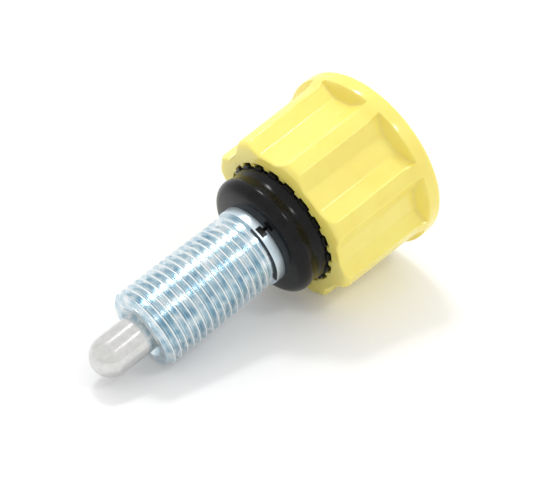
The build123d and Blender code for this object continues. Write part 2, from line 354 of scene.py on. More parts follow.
@dataclass(frozen=True)
class Barrel:
    """Threaded barrel with its relief, notched collar and hidden shank."""

    thread_radius: float = 8.0
    thread_end: float = 25.1
    chamfer_length: float = 0.85
    chamfer_depth: float = 0.9
    chamfer_blend: float = 0.06
    pitch: float = 1.5
    thread_depth: float = 0.92
    crest_width: float = 0.19
    crest_blend: float = 0.08
    crest_rows: tuple[float, ...] = (-0.08, -0.03, 0.0, 0.03)
    root_width: float = 0.19
    root_blend: float = 0.14
    root_rows: tuple[float, ...] = (-0.03, 0.0, 0.04)
    flank_rows: tuple[float, ...] = (0.22, 0.39)
    phase: float = 1.214
    runout_start: float = 23.7
    runout_blend: float = 0.05
    relief_radius: float = 7.4
    relief_step: float = 0.02
    relief_end: float = 26.1
    relief_fillet: float = 0.05
    # Painted shade: the band and the angles of the relief groove that get the near-black zinc copy.
    shaded_relief_width: float = 0.08
    shaded_relief_from: float = 114.0
    shaded_relief_to: float = 212.0
    shaded_relief_overlap: float = 0.02
    shaded_relief_below: float = 0.2
    # Painted highlight: faces this close to the thread's crest get the paler zinc copy.
    crest_highlight_depth: float = 0.06
    # Painted sheen: the collar's faces get a paler, rougher, less metallic copy of the zinc.
    collar_sheen_overlap: float = 0.05
    collar_sheen_above: float = 0.3
    collar_radius: float = 8.25
    collar_end: float = 28.1
    shank_radius: float = 7.8
    end: float = 38.0
    bore_radius: float = 4.03
    mouth_chamfer: float = 1.27
    mouth_inner_fillet: float = 0.1
    mouth_outer_fillet: float = 0.08
    guide_length: float = 12.0
    chamber_radius: float = 5.6
    notch_angle: float = 125.9
    notch_width: float = 2.1
    notch_start: float = 26.45
    notch_end: float = 27.65
    notch_floor: float = 7.3
    notch_edge: float = 0.02
    notch_edge_angle: float = 0.003
    neck_width: float = 0.75
    edge_fillet: float = 0.12
    columns: int = 168

    @property
    def thread_middle(self) -> float:
        """Middle of the full thread, where its mount stands."""
        return (self.chamfer_length + self.thread_end) / 2

    def thread_radius_at(self, x: np.ndarray, angle: np.ndarray) -> np.ndarray:
        """Radius of the threaded surface.

        The height rises in a straight flank from the root to the crest with the
        distance from the nearest root line, which lies where x less one pitch a
        turn is a whole number of pitches; a cone at each end cuts it.

        Args:
            x: Distance from the front face, in mm.
            angle: Angle round the axis, in radians.

        Returns:
            The radius in mm.
        """
        turns = (x - self.phase) / self.pitch - angle / (2 * math.pi)
        from_root = np.abs(turns - np.round(turns)) * self.pitch
        flank = (self.pitch - self.crest_width - self.root_width) / 2
        rise = (from_root - self.root_width / 2) / flank
        rise = soft_max(rise, np.zeros_like(rise), self.root_blend)
        rise = soft_min(rise, np.ones_like(rise), self.crest_blend)
        radius = self.thread_radius - self.thread_depth * (1 - rise)
        chamfer = self.thread_radius - self.chamfer_depth * (1 - x / self.chamfer_length)
        root = self.thread_radius - self.thread_depth
        share = (x - self.runout_start) / (self.thread_end - self.runout_start)
        runout = root + (self.relief_radius - root) * share
        return soft_min(soft_max(radius, runout, self.runout_blend), chamfer, self.chamfer_blend)

    def thread_rows(self) -> np.ndarray:
        """Places of the mesh rows along one pitch, close together at crest and root.

        Returns:
            Distances from a root line, in mm, over the whole thread.
        """
        crest = (self.pitch - self.crest_width) / 2
        root = self.root_width / 2
        by_root = root + np.array(self.root_rows)
        by_crest = crest + np.array(self.crest_rows)
        half = np.concatenate([[0.0], by_root, self.flank_rows, by_crest])
        one = np.unique(np.concatenate([half, [self.pitch / 2], self.pitch - half[1:]]))
        count = int(self.thread_end / self.pitch) + 3
        return (np.arange(-2, count)[:, None] * self.pitch + one[None, :]).ravel() + self.phase

    def build(self, axis: PlungerAxis) -> bpy.types.Object:
        """Builds the barrel as one closed turned surface with a helical thread.

        Args:
            axis: The plunger's axis.

        Returns:
            The barrel.
        """
        surface = SurfaceMesh("barrel_turned")
        notch = math.radians(self.notch_angle)
        half = self.notch_width / 2 / self.collar_radius
        neck = self.neck_width / 2 / self.collar_radius
        edges = notch + np.array([-half, -neck, neck, half])
        edges = np.concatenate([edges - self.notch_edge_angle, edges + self.notch_edge_angle])
        angles = np.unique(np.concatenate([even_angles(self.columns), edges]))
        closing = np.concatenate([angles, [2 * math.pi]])
        x = self.thread_rows()[:, None] + self.pitch * closing[None, :] / (2 * math.pi)
        x = np.clip(x, 0.0, self.thread_end)
        thread = axis.place(x, self.thread_radius_at(x, closing[None, :]), closing[None, :])
        surface.add_grid(thread, close_columns=False)
        rear_radius = self.thread_radius_at(np.full_like(angles, self.thread_end), angles)[None, :]
        outline = rounded_outline([
            (self.thread_end, self.thread_radius),
            (self.thread_end + self.relief_step, self.relief_radius),
            # This row is where the painted shade in the relief begins.
            (self.relief_end - self.shaded_relief_width, self.relief_radius),
            (self.relief_end, self.relief_radius, self.relief_fillet),
            (self.relief_end, self.collar_radius, self.edge_fillet),
            (self.collar_end, self.collar_radius, self.edge_fillet),
            (self.collar_end, self.shank_radius),
            (self.end, self.shank_radius),
            (self.end, self.chamber_radius),
            (self.guide_length, self.chamber_radius),
            (self.guide_length, self.bore_radius),
            (self.mouth_chamfer, self.bore_radius, self.mouth_inner_fillet),
            (0.0, self.bore_radius + self.mouth_chamfer, self.mouth_outer_fillet),
            (0.0, self.thread_radius - self.chamfer_depth),
        ])
        notch_rows = np.array([self.notch_start, self.notch_end])
        notch_rows = np.sort(np.concatenate([notch_rows - self.notch_edge, notch_rows + self.notch_edge]))
        split = int(np.argmax(outline[:, 0] > notch_rows[-1]))
        extra = np.stack([notch_rows, np.full_like(notch_rows, self.collar_radius)], axis=1)
        outline = np.concatenate([outline[:split], extra, outline[split:]])
        radius = np.repeat(outline[:, 1:], len(angles), axis=1)
        radius[:1] = rear_radius
        radius[-1:] = self.thread_radius_at(np.zeros((1, len(angles))), angles[None, :])
        station = outline[:, :1]
        offset = np.abs(angles - notch)[None, :]
        head = (station > self.notch_start) & (station < self.notch_end) & (offset < half)
        stem = (station > self.notch_start) & (station <= self.collar_end) & (offset < neck)
        collar = radius > self.shank_radius
        radius = np.where((head | stem) & collar, self.notch_floor, radius)
        surface.add_grid(axis.place(station, radius, angles[None, :]))
        return surface.finish(sharp_angle=35.0)

    def dress(self, piece: bpy.types.Object, axis: PlungerAxis, shelf: "FinishShelf") -> None:
        """Plates the barrel: painted highlight on the thread's crests, a paler, rougher copy with painted
        sheen on the collar, and painted shade in part of the relief.

        Args:
            piece: The built barrel.
            axis: The plunger's axis.
            shelf: The finishes.
        """
        dress_piece(piece, shelf.take(ZINC), Body.BARREL, ("threaded_barrel",))
        for finish in (COLLAR_SHEEN_ZINC, CREST_HIGHLIGHT_ZINC, PAINTED_SHADE_ZINC):
            piece.data.materials.append(shelf.take(finish))
        faces = piece.data.polygons
        centres = np.empty(3 * len(faces))
        faces.foreach_get("center", centres)
        offset = (centres.reshape(-1, 3) - axis.face) / MM
        along = offset @ axis.along
        radius = np.linalg.norm(offset - along[:, None] * axis.along, axis=1)
        angle = np.degrees(np.arctan2(offset @ axis.lift, offset @ axis.across)) % 360.0
        # Painted sheen: a paler, rougher copy of the zinc on the collar, lighter than the dark reflection it
        # would show.
        on_collar = (along > self.relief_end - self.collar_sheen_overlap) & (along < self.collar_end)
        on_collar &= radius > self.notch_floor + self.collar_sheen_above
        # Painted highlight: the crest faces get a paler, less metallic copy of the zinc.
        on_crest = (along > self.chamfer_length) & (along < self.thread_end)
        on_crest &= radius > self.thread_radius - self.crest_highlight_depth
        # Painted shade: a dark band in the relief next to the collar, on the side where its shadow shows.
        shaded_strip = (along > self.relief_end - self.shaded_relief_width) & (along < self.relief_end + self.shaded_relief_overlap)
        shaded_strip &= (angle > self.shaded_relief_from) & (angle < self.shaded_relief_to)
        shaded_strip &= radius < self.collar_radius - self.shaded_relief_below
        chosen = np.select([shaded_strip, on_collar, on_crest], [3, 1, 2], 0)
        faces.foreach_set("material_index", chosen.astype(np.int32))


@dataclass(frozen=True)
class CollarKey:
    """Key of the hub's moulding that fills the notch in the barrel's collar."""

    barrel: Barrel
    recess: float = 0.15
    edge: float = 0.05
    chamfer: float = 0.08

    def build(self, axis: PlungerAxis) -> bpy.types.Object:
        """Builds the key as a T-shaped plug with a chamfered top.

        Args:
            axis: The plunger's axis.

        Returns:
            The key.
        """
        collar = self.barrel
        half = collar.notch_width / 2
        neck = collar.neck_width / 2
        start, end, back = collar.notch_start, collar.notch_end, collar.collar_end
        plan = np.array([
            (start, -half),
            (start, half),
            (end, half),
            (end, neck),
            (back, neck),
            (back, -neck),
            (end, -neck),
            (end, -half),
        ])
        top = collar.collar_radius - self.recess
        heights = np.array([collar.notch_floor, top - self.edge, top])
        shrink = np.array([0.0, 0.0, self.chamfer])
        centre = np.array([(start + end) / 2, 0.0])
        surface = SurfaceMesh("hub_key")
        scaled = centre + (plan - centre)[None, :, :] * (1 - shrink / half)[:, None, None]
        angle = math.radians(collar.notch_angle) + scaled[..., 1] / collar.collar_radius
        surface.add_grid(axis.place(scaled[..., 0], heights[:, None], angle))
        return surface.finish(sharp_angle=30.0, capped=True)

    def dress(self, piece: bpy.types.Object, axis: PlungerAxis, shelf: "FinishShelf") -> None:
        """Gives the key the hub's black nylon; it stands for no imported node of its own."""
        dress_piece(piece, shelf.take(NYLON), Body.BARREL, ())


@dataclass(frozen=True)
class PlungerPin:
    """Ball-nosed pin with its stop collar and stem."""

    radius: float = 3.95
    reach: float = 10.75
    guide_length: float = 12.0
    stop_radius: float = 5.3
    stop_end: float = 15.0
    stem_radius: float = 3.0
    stem_end: float = 49.3
    edge_fillet: float = 0.2
    stop_fillet: float = 0.3
    nose_points: int = 28
    nose_land: float = 0.2

    def build(self, axis: PlungerAxis) -> bpy.types.Object:
        """Turns the pin from its nose to the end of its stem.

        Args:
            axis: The plunger's axis.

        Returns:
            The pin.
        """
        sweep = np.linspace(0.0, math.pi / 2, self.nose_points)
        centre = self.radius - self.reach
        nose = np.stack([centre - self.radius * np.cos(sweep), self.radius * np.sin(sweep)], axis=1)
        rest = rounded_outline([
            (centre + self.nose_land, self.radius),
            (self.guide_length, self.radius),
            (self.guide_length, self.stop_radius, self.edge_fillet),
            (self.stop_end, self.stop_radius, self.stop_fillet),
            (self.stop_end, self.stem_radius),
            (self.stem_end, self.stem_radius, self.edge_fillet),
            (self.stem_end, 0.0),
        ])
        return lathe("pin_polished", axis, np.concatenate([nose, rest]))

    def dress(self, piece: bpy.types.Object, axis: PlungerAxis, shelf: "FinishShelf") -> None:
        """Gives the pin its polished steel."""
        dress_piece(piece, shelf.take(POLISHED), Body.PLUNGER, ("plunger_pin",))


@dataclass(frozen=True)
class Hub:
    """Moulded drum with its bulged nose, waist and splined skirt."""

    front: float = 28.1
    bore_radius: float = 7.8
    crest_radius: float = 12.6
    crest_x: float = 30.7
    face_radius: float = 8.6
    face_rake: float = 0.7
    nose_fillet: float = 2.2
    crest_fillet: float = 2.0
    waist_radius: float = 12.25
    waist_x: float = 32.5
    waist_fillet: float = 3.0
    drum_end: float = 34.3
    end: float = 48.2
    back: float = 39.0
    stem_hole: float = 3.6
    wall: float = 1.0
    skirt_radius: float = 10.8
    tooth_count: int = 20
    tooth_phase: float = -83.9
    root_radius: float = 12.3
    tip_radius: float = 13.1
    tooth_width: float = 2.1
    tooth_front_edge: float = 0.12
    tooth_back_edge: float = 0.15

    def tooth_section(self) -> tuple[np.ndarray, np.ndarray]:
        """Angles and radii of the toothed section, with rounded tips and roots.

        Half a tooth is a line of (side, height) points from the middle of its
        tip down its flank; it is mirrored, and repeated once a pitch.

        Returns:
            Column angles in radians and the radius at each, over a full turn.
        """
        half = self.tooth_width / 2
        tip, root = self.tip_radius, self.root_radius
        side, height = np.array([
            (0.0, tip),
            (0.5, tip),
            (half - 0.18, tip),
            (half - 0.05, tip - 0.05),
            (half, tip - 0.17),
            (half, root + 0.13),
            (half + 0.05, root + 0.04),
            (half + 0.15, root),
        ]).T
        one = np.arctan2(side, height)
        pitch = 2 * math.pi / self.tooth_count
        gap = np.linspace(one[-1], pitch / 2, 4)[1:]
        angle = np.concatenate([one, gap])
        radius = np.concatenate([np.hypot(side, height)[:-1], np.full(len(gap) + 1, root)])
        angle = np.concatenate([-angle[:0:-1], angle[:-1]])
        radius = np.concatenate([radius[:0:-1], radius[:-1]])
        starts = math.radians(self.tooth_phase) + pitch * np.arange(self.tooth_count)
        return (starts[:, None] + angle[None, :]).ravel(), np.tile(radius, self.tooth_count)

    def build(self, axis: PlungerAxis) -> bpy.types.Object:
        """Builds the drum and its teeth as one closed surface.

        Args:
            axis: The plunger's axis.

        Returns:
            The hub.
        """
        angles, teeth = self.tooth_section()
        smooth = rounded_outline([
            (self.back, self.skirt_radius),
            (self.back, self.stem_hole),
            (self.back - self.wall, self.stem_hole),
            (self.back - self.wall, self.bore_radius),
            (self.front, self.bore_radius),
            (self.front, self.face_radius),
            (self.front + self.face_rake, self.crest_radius, self.nose_fillet),
            (self.crest_x, self.crest_radius, self.crest_fillet),
            (self.waist_x, self.waist_radius, self.waist_fillet),
            (self.drum_end, self.crest_radius),
        ], steps=14)
        radius = np.repeat(smooth[:, 1:], len(angles), axis=1)
        front_edge, back_edge = self.tooth_front_edge, self.tooth_back_edge
        toothed_x = np.array([self.drum_end, self.drum_end + front_edge, self.end - back_edge, self.end])
        lower = np.array([front_edge, 0.0, 0.0, back_edge])
        toothed = teeth[None, :] - lower[:, None]
        closing = np.array([[self.end, self.skirt_radius], [self.back, self.skirt_radius]])
        radius = np.concatenate([radius, toothed, np.repeat(closing[:, 1:], len(angles), axis=1)])
        station = np.concatenate([smooth[:, 0], toothed_x, closing[:, 0]])[:, None]
        surface = SurfaceMesh("hub_moulded")
        surface.add_grid(axis.place(station, radius, angles[None, :]))
        return surface.finish()

    def dress(self, piece: bpy.types.Object, axis: PlungerAxis, shelf: "FinishShelf") -> None:
        """Gives the hub its black nylon."""
        dress_piece(piece, shelf.take(NYLON), Body.BARREL, ("hub",))


@dataclass(frozen=True)
class Knob:
    """Pull knob with eight recesses, a rear rim, a splined bore and a pocket."""

    front: float = 34.9
    back: float = 59.0
    front_radius: float = 17.75
    waist_radius: float = 18.25
    front_fillet: float = 1.3
    rim_front: float = 53.4
    rim_full: float = 55.8
    rim_radius: float = 19.0
    rim_blend: float = 5.0
    rim_fillet: float = 0.8
    recess_count: int = 8
    recess_floor: float = 16.0
    recess_half_width: float = 2.12
    recess_wall_angle: float = 21.0
    recess_side_foot: float = 5.35
    recess_side_angle: float = 60.0
    recess_taper: float = 0.8
    recess_end: float = 54.7
    recess_ramp_angle: float = 70.0
    recess_front_fillet: float = 0.5
    rib_edge: float = 17.8
    rib_blend: float = 0.2
    floor_blend: float = 0.08
    side_blend: float = 0.5
    ramp_blend: float = 0.7
    recess_inner_limit: float = 15.5
    recess_rear_limit: float = 56.7
    row_step: float = 1.6
    fine_row_step: float = 0.13
    fine_rows: tuple[float, float] = (53.2, 56.4)
    columns_between: int = 432
    column_gap: float = 0.003
    corner_columns: tuple[float, ...] = (-0.008, 0.0, 0.008)
    rib_columns: tuple[float, ...] = (-0.014, -0.007, 0.0, 0.004, 0.009)
    ridge_radius: float = 12.6
    groove_radius: float = 13.4
    groove_half_width: float = 1.35
    front_land: float = 1.2
    mouth_chamfer_length: float = 0.15
    mouth_chamfer_depth: float = 0.12
    groove_count: int = 20
    groove_phase: float = -83.9
    web_start: float = 48.5
    web_end: float = 51.0
    stem_bore: float = 3.05
    screw_hole: float = 2.25
    seat_depth: float = 0.8
    pocket_radius: float = 7.2
    pocket_fillet: float = 0.5
    cap_seat: float = 57.5
    cap_radius: float = 8.2
    cap_fillet: float = 0.15

    def recess_radius(self, x: np.ndarray, local: np.ndarray) -> np.ndarray:
        """Radius of a recess: flat floor, sloped walls, steep rib sides, conical ramp.

        Floor, wall and side are planes that sink towards the front by the taper;
        each plane's distance is turned into a radius along the given angle.  The
        front end is rounded off by a quarter circle.

        Args:
            x: Distance from the barrel's front face, in mm.
            local: Angle from the middle of the recess, in radians, not negative.

        Returns:
            The radius in mm.
        """
        slope = math.tan(math.radians(self.recess_wall_angle))
        steep = math.tan(math.radians(self.recess_side_angle))
        ramp = math.tan(math.radians(self.recess_ramp_angle))
        sunk = self.recess_floor + (x - self.recess_end) * math.tan(math.radians(self.recess_taper))
        foot = sunk + (self.recess_side_foot - self.recess_half_width) * slope
        floor = sunk / np.cos(local)
        wall = (sunk - self.recess_half_width * slope) / (np.cos(local) - slope * np.sin(local))
        side = (foot - self.recess_side_foot * steep) / (np.cos(local) - steep * np.sin(local))
        rear = self.recess_floor + (x - self.recess_end) * ramp + 0 * local
        hollow = soft_max(soft_max(floor, wall, self.floor_blend), side, self.side_blend)
        inset = np.clip(1.0 - (x - self.front) / self.recess_front_fillet, 0.0, 1.0)
        rounding = self.recess_front_fillet * (1.0 - np.sqrt(1.0 - inset * inset))
        return soft_max(hollow, rear, self.ramp_blend) - rounding

    def groove_share(self, angle: np.ndarray) -> np.ndarray:
        """One inside the bore's grooves and nothing on its ridges.

        Args:
            angle: Angle round the axis, in radians.

        Returns:
            The share, which changes over a narrow flank.
        """
        pitch = 2 * math.pi / self.groove_count
        local = np.abs((angle - math.radians(self.groove_phase) + pitch / 2) % pitch - pitch / 2)
        outer = math.asin(self.groove_half_width / self.groove_radius)
        inner = math.asin(self.groove_half_width / self.ridge_radius)
        return np.clip((inner - local) / (inner - outer), 0.0, 1.0)

    def columns(self) -> np.ndarray:
        """Column angles: even ones, and close ones at grooves and recess corners.

        Returns:
            Sorted angles in radians over a full turn.
        """
        outer = math.asin(self.groove_half_width / self.groove_radius)
        inner = math.asin(self.groove_half_width / self.ridge_radius)
        flanks = np.array([-inner, -outer, outer, inner])
        centres = math.radians(self.groove_phase) + even_angles(self.groove_count)
        corner = math.atan(self.recess_half_width / self.recess_floor)
        by_corner = corner + np.array(self.corner_columns)
        by_edge = math.radians(self.rib_edge) + np.array(self.rib_columns)
        lines = np.concatenate([by_corner, by_edge, -by_corner, -by_edge])
        middles = even_angles(self.recess_count)
        kept = np.concatenate([(centres[:, None] + flanks).ravel(), (middles[:, None] + lines).ravel()])
        kept %= 2 * math.pi
        even = even_angles(self.columns_between)
        apart = np.abs(even[:, None] - kept[None, :]).min(axis=1) > self.column_gap
        return np.sort(np.concatenate([even[apart], kept]))

    def build(self, axis: PlungerAxis) -> bpy.types.Object:
        """Builds the whole moulding as one closed surface.

        Args:
            axis: The plunger's axis.

        Returns:
            The knob.
        """
        angles = self.columns()[None, :]
        outer = rounded_outline([
            (self.front, self.ridge_radius + self.front_land),
            (self.front, self.front_radius, self.front_fillet),
            (self.rim_front, self.waist_radius, self.rim_blend),
            (self.rim_full, self.rim_radius, self.rim_blend),
            (self.back, self.rim_radius, self.rim_fillet),
            (self.back, self.cap_radius, self.cap_fillet),
            (self.cap_seat, self.cap_radius),
            (self.cap_seat, self.pocket_radius),
            (self.web_end, self.pocket_radius, self.pocket_fillet),
            (self.web_end, self.screw_hole),
            (self.web_start + self.seat_depth, self.screw_hole),
            (self.web_start + self.seat_depth, self.stem_bore),
            (self.web_start, self.stem_bore),
            (self.web_start, self.ridge_radius),
        ])
        outer = dense_outline(outer, self.row_step, self.fine_row_step, self.fine_rows)
        station, radius = outer[:, :1], outer[:, 1:]
        outside = (radius > self.recess_inner_limit) & (station < self.recess_rear_limit)
        sector = 2 * math.pi / self.recess_count
        recess = self.recess_radius(station, np.abs((angles + sector / 2) % sector - sector / 2))
        cut = soft_min(np.broadcast_to(radius, recess.shape), recess, self.rib_blend)
        surface_radius = np.where(outside, cut, radius)
        depth = self.groove_radius - self.ridge_radius
        mouth = self.front + self.mouth_chamfer_length
        bore_x = np.array([self.web_start, self.web_start, mouth, self.front])[:, None]
        bore_lift = np.array([0.0, 0.0, 0.0, self.mouth_chamfer_depth])[:, None]
        bore = self.ridge_radius + bore_lift + self.groove_share(angles) * depth
        station = np.concatenate([station, bore_x])
        surface_radius = np.concatenate([surface_radius, bore])
        surface = SurfaceMesh("knob_moulded")
        surface.add_grid(axis.place(station, surface_radius, angles), close_rows=True)
        return surface.finish(sharp_angle=38.0)

    def dress(self, piece: bpy.types.Object, axis: PlungerAxis, shelf: "FinishShelf") -> None:
        """Gives the knob its yellow plastic."""
        dress_piece(piece, shelf.take(YELLOW), Body.PLUNGER, ("knob",))


@dataclass(frozen=True)
class EndCap:
    """Plug in the knob's rear pocket."""

    back: float = 59.0
    radius: float = 8.2
    thickness: float = 1.5
    skirt_radius: float = 7.2
    skirt_length: float = 1.6
    skirt_wall: float = 1.0
    clearance: float = 0.04
    dish_depth: float = 0.12
    dish_radius: float = 6.2
    dish_slope: float = 0.6
    dish_fillet: float = 0.6
    rim_fillet: float = 0.15
    skirt_fillet: float = 0.2

    def build(self, axis: PlungerAxis) -> bpy.types.Object:
        """Turns the plug with its rounded edge.

        Args:
            axis: The plunger's axis.

        Returns:
            The cap.
        """
        seat = self.back - self.thickness
        skirt_end = seat - self.skirt_length
        rim = self.radius - self.clearance
        skirt = self.skirt_radius - self.clearance / 2
        hollow = self.skirt_radius - self.skirt_wall
        outline = rounded_outline([
            (self.back - self.dish_depth, 0.0),
            (self.back - self.dish_depth, self.dish_radius, self.dish_fillet),
            (self.back, self.dish_radius + self.dish_slope, self.dish_fillet),
            (self.back, rim, self.rim_fillet),
            (seat, rim),
            (seat, skirt),
            (skirt_end, skirt, self.skirt_fillet),
            (skirt_end, hollow, self.skirt_fillet),
            (seat, hollow),
            (seat, 0.0),
        ])
        return lathe("cap_moulded", axis, outline)

    def dress(self, piece: bpy.types.Object, axis: PlungerAxis, shelf: "FinishShelf") -> None:
        """Gives the cap the knob's yellow plastic."""
        dress_piece(piece, shelf.take(YELLOW), Body.PLUNGER, ("end_cap",))


@dataclass(frozen=True)
class Spring:
    """Compression spring round the pin's stem."""

    start: float = 15.0
    end: float = 34.0
    wire: float = 1.0
    radius: float = 4.5
    coils: float = 7.0
    squeezed: float = 8.0
    rings_per_coil: int = 44
    ring_points: int = 14

    def build(self, axis: PlungerAxis) -> bpy.types.Object:
        """Winds the wire as a tube along a helix.

        The wire's centre goes round once a pitch; each ring of the tube stands
        across the wire, in the plane of the radius and the wire's normal.

        Args:
            axis: The plunger's axis.

        Returns:
            The spring.
        """
        half = self.wire / 2
        length = self.end - self.start - self.wire
        rings = int(self.coils * self.rings_per_coil)
        turn = np.linspace(0.0, 2 * math.pi * self.coils, rings)[:, None]
        ring = even_angles(self.ring_points)[None, :]
        lead = length / (2 * math.pi * self.coils)
        tilt = math.atan2(lead, self.radius)
        out = half * np.cos(ring)
        side = half * np.sin(ring)
        x = self.start + half + lead * turn + side * math.cos(tilt)
        radius = self.radius + out
        angle = turn - side * math.sin(tilt) / self.radius
        surface = SurfaceMesh("spring_wound")
        surface.add_grid(axis.place(x, radius, angle))
        return surface.finish(sharp_angle=60.0, capped=True)

    def dress(self, spring: bpy.types.Object, axis: PlungerAxis, shelf: "FinishShelf") -> None:
        """Gives the spring its wire finish and its own copy of the mesh.

        Args:
            spring: The built spring.
            axis: The plunger's axis.
            shelf: The finishes.
        """
        dress_piece(spring, shelf.take(WIRE), Body.BARREL, ("spring",))
        anchor = axis.place(np.array(self.end), np.array(0.0), np.array(0.0))
        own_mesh(spring)


class ShaderGraph:
    """Node tree of one material, with short calls for the nodes used here."""

    def __init__(self, name: str) -> None:
        """Makes the material with its surface shader.

        Args:
            name: Name of the material.
        """
        self.material = bpy.data.materials.new(name)
        self.material.use_nodes = True
        self.nodes = self.material.node_tree.nodes
        self.links = self.material.node_tree.links
        self.shader = self.nodes["Principled BSDF"]

    def set_shader(self, **values: float | tuple[float, ...]) -> None:
        """Sets constant inputs of the surface shader.

        Args:
            **values: Socket names with underscores for spaces, and their values.
        """
        for name, value in values.items():
            self.shader.inputs[name.replace("_", " ")].default_value = value

    def group(self, tree: bpy.types.NodeTree, **values: float) -> bpy.types.NodeSocket:
        """Adds one of the shared effects.

        Args:
            tree: The effect's node group.
            **values: Its inputs.

        Returns:
            The effect's first output.
        """
        node = self.nodes.new("ShaderNodeGroup")
        node.node_tree = tree
        for name, value in values.items():
            node.inputs[name].default_value = value
        return node.outputs[0]

    def ramp(
        self, source: bpy.types.NodeSocket, stops: list[tuple[float, tuple[float, ...]]]
    ) -> bpy.types.NodeSocket:
        """Colour ramp over a value.

        Args:
            source: The value.
            stops: Positions and colours.

        Returns:
            The colour's socket.
        """
        node = self.nodes.new("ShaderNodeValToRGB")
        while len(node.color_ramp.elements) < len(stops):
            node.color_ramp.elements.new(0.5)
        for element, (position, color) in zip(node.color_ramp.elements, stops):
            element.position = position
            element.color = (*color, 1.0)
        self.links.new(source, node.inputs["Fac"])
        return node.outputs["Color"]

    def spread(self, source: bpy.types.NodeSocket, limits: tuple[float, float]) -> bpy.types.NodeSocket:
        """Maps a value from 0..1 to the given limits.

        Args:
            source: The value.
            limits: Results at nothing and at one.

        Returns:
            The mapped value's socket.
        """
        node = self.nodes.new("ShaderNodeMapRange")
        node.inputs["To Min"].default_value, node.inputs["To Max"].default_value = limits
        self.links.new(source, node.inputs["Value"])
        return node.outputs["Result"]

    def cloud(self, effects: "Effects", finish: "Metal | Plastic", detail: float, gloss_ratio: float) -> None:
        """Feeds colour and roughness with clouds that run through the finish's ranges.

        Args:
            effects: The shared node groups.
            finish: The finish with its colours, roughness limits and cloud scale.
            detail: Detail of the colour's clouds.
            gloss_ratio: How much finer the clouds of the roughness are.
        """
        clouds = self.group(effects.mottle, Scale=finish.mottle_scale, Detail=detail)
        places = np.linspace(*CLOUD_RANGE, len(finish.colors))
        self.connect(self.ramp(clouds, list(zip(places, finish.colors))), "Base Color")
        gloss = self.group(effects.mottle, Scale=gloss_ratio * finish.mottle_scale, Detail=3.0)
        self.connect(self.spread(gloss, finish.roughness), "Roughness")

    def connect(self, source: bpy.types.NodeSocket, name: str) -> None:
        """Feeds a socket of the surface shader.

        Args:
            source: What feeds it.
            name: The shader's input.
        """
        self.links.new(source, self.shader.inputs[name])

    def bump(
        self, height: bpy.types.NodeSocket, distance: float, under: bpy.types.Node | None = None
    ) -> bpy.types.Node:
        """Adds a bump layer and feeds the shader's normal with it.

        Args:
            height: Height of the layer, from nothing to one.
            distance: What a full step of height measures, in mm.
            under: Bump layer below this one.

        Returns:
            The bump node.
        """
        node = self.nodes.new("ShaderNodeBump")
        node.inputs["Distance"].default_value = distance * MM
        self.links.new(height, node.inputs["Height"])
        if under is not None:
            self.links.new(under.outputs["Normal"], node.inputs["Normal"])
        self.links.new(node.outputs["Normal"], self.shader.inputs["Normal"])
        return node


class Effects:
    """Node groups that several finishes share, each built once."""

    def __init__(self, axis: PlungerAxis) -> None:
        """Builds the groups.

        Args:
            axis: The plunger's axis.
        """
        self.mottle = self._build_mottle()
        self.turning = self._build_turning(axis)

    def _start_group(self, name: str, inputs: tuple[str, ...], output: str) -> bpy.types.NodeTree:
        """Starts a node group of plain values.

        Args:
            name: Name of the group.
            inputs: Names of its inputs.
            output: Name of its output.

        Returns:
            The group with its sockets and no nodes.
        """
        group = bpy.data.node_groups.new(name, "ShaderNodeTree")
        for socket in inputs:
            group.interface.new_socket(socket, in_out="INPUT", socket_type="NodeSocketFloat")
        group.interface.new_socket(output, in_out="OUTPUT", socket_type="NodeSocketFloat")
        return group

    def _build_mottle(self) -> bpy.types.NodeTree:
        """Cloudy noise over the object's coordinates.

        Returns:
            A group with the inputs Scale, in lumps per metre, and Detail.
        """
        group = self._start_group("mottle", ("Scale", "Detail"), "Value")
        given = group.nodes.new("NodeGroupInput")
        place = group.nodes.new("ShaderNodeTexCoord")
        noise = group.nodes.new("ShaderNodeTexNoise")
        result = group.nodes.new("NodeGroupOutput")
        group.links.new(place.outputs["Object"], noise.inputs["Vector"])
        group.links.new(given.outputs["Scale"], noise.inputs["Scale"])
        group.links.new(given.outputs["Detail"], noise.inputs["Detail"])
        group.links.new(noise.outputs["Fac"], result.inputs["Value"])
        return group

    def _build_turning(self, axis: PlungerAxis) -> bpy.types.NodeTree:
        """Fine lines round the axis, as a turning tool leaves them.

        The distance along the axis is the product of the point's offset from
        the barrel's face with the axis; a noise of one dimension runs along it.

        Args:
            axis: The plunger's axis.

        Returns:
            A group with the input Scale, in lines per mm.
        """
        group = self._start_group("turning_lines", ("Scale",), "Height")
        given = group.nodes.new("NodeGroupInput")
        place = group.nodes.new("ShaderNodeTexCoord")
        shift = group.nodes.new("ShaderNodeVectorMath")
        shift.operation = "SUBTRACT"
        shift.inputs[1].default_value = tuple(axis.face)
        product = group.nodes.new("ShaderNodeVectorMath")
        product.operation = "DOT_PRODUCT"
        product.inputs[1].default_value = tuple(axis.along / MM)
        noise = group.nodes.new("ShaderNodeTexNoise")
        noise.noise_dimensions = "1D"
        result = group.nodes.new("NodeGroupOutput")
        group.links.new(place.outputs["Object"], shift.inputs[0])
        group.links.new(shift.outputs["Vector"], product.inputs[0])
        group.links.new(product.outputs["Value"], noise.inputs["W"])
        group.links.new(given.outputs["Scale"], noise.inputs["Scale"])
        group.links.new(noise.outputs["Fac"], result.inputs["Height"])
        return group


